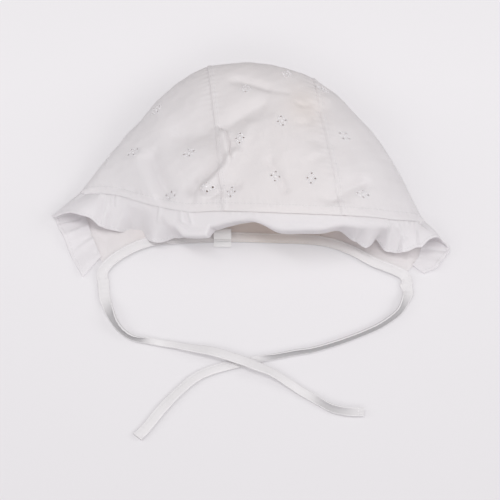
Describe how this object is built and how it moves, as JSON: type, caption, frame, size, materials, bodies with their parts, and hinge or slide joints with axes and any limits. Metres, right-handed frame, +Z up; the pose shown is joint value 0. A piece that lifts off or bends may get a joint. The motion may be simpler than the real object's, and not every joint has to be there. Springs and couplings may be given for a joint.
{
  "type": "sun hat",
  "caption": "Baby's sun hat in the cut of a bonnet: panelled crown of pierced white cotton, gathered ruffle round the face edge, bound neck edge and long ties, lying flat.",
  "frame": {"origin": "On the table, under the middle of the hat's box without its ties", "axes": "+X to the right of the hat as it lies, +Y to the back of the crown, so that the face opening looks along -Y, and +Z up"},
  "size_m": [0.3166, 0.3248, 0.0582],
  "materials": {
    "cotton": "matt white eyelet cotton with pierced flowers",
    "tape": "folded cotton tape with a stitched edge",
    "label": "blank woven satin tape"
  },
  "bodies": {
    "root": {"crown_left": "cotton", "crown_center": "cotton", "crown_right": "cotton", "ruffle": "cotton", "neck_binding": "tape", "tie_left": "tape", "tie_right": "tape", "label": "label"}
  },
  "joints": []
}
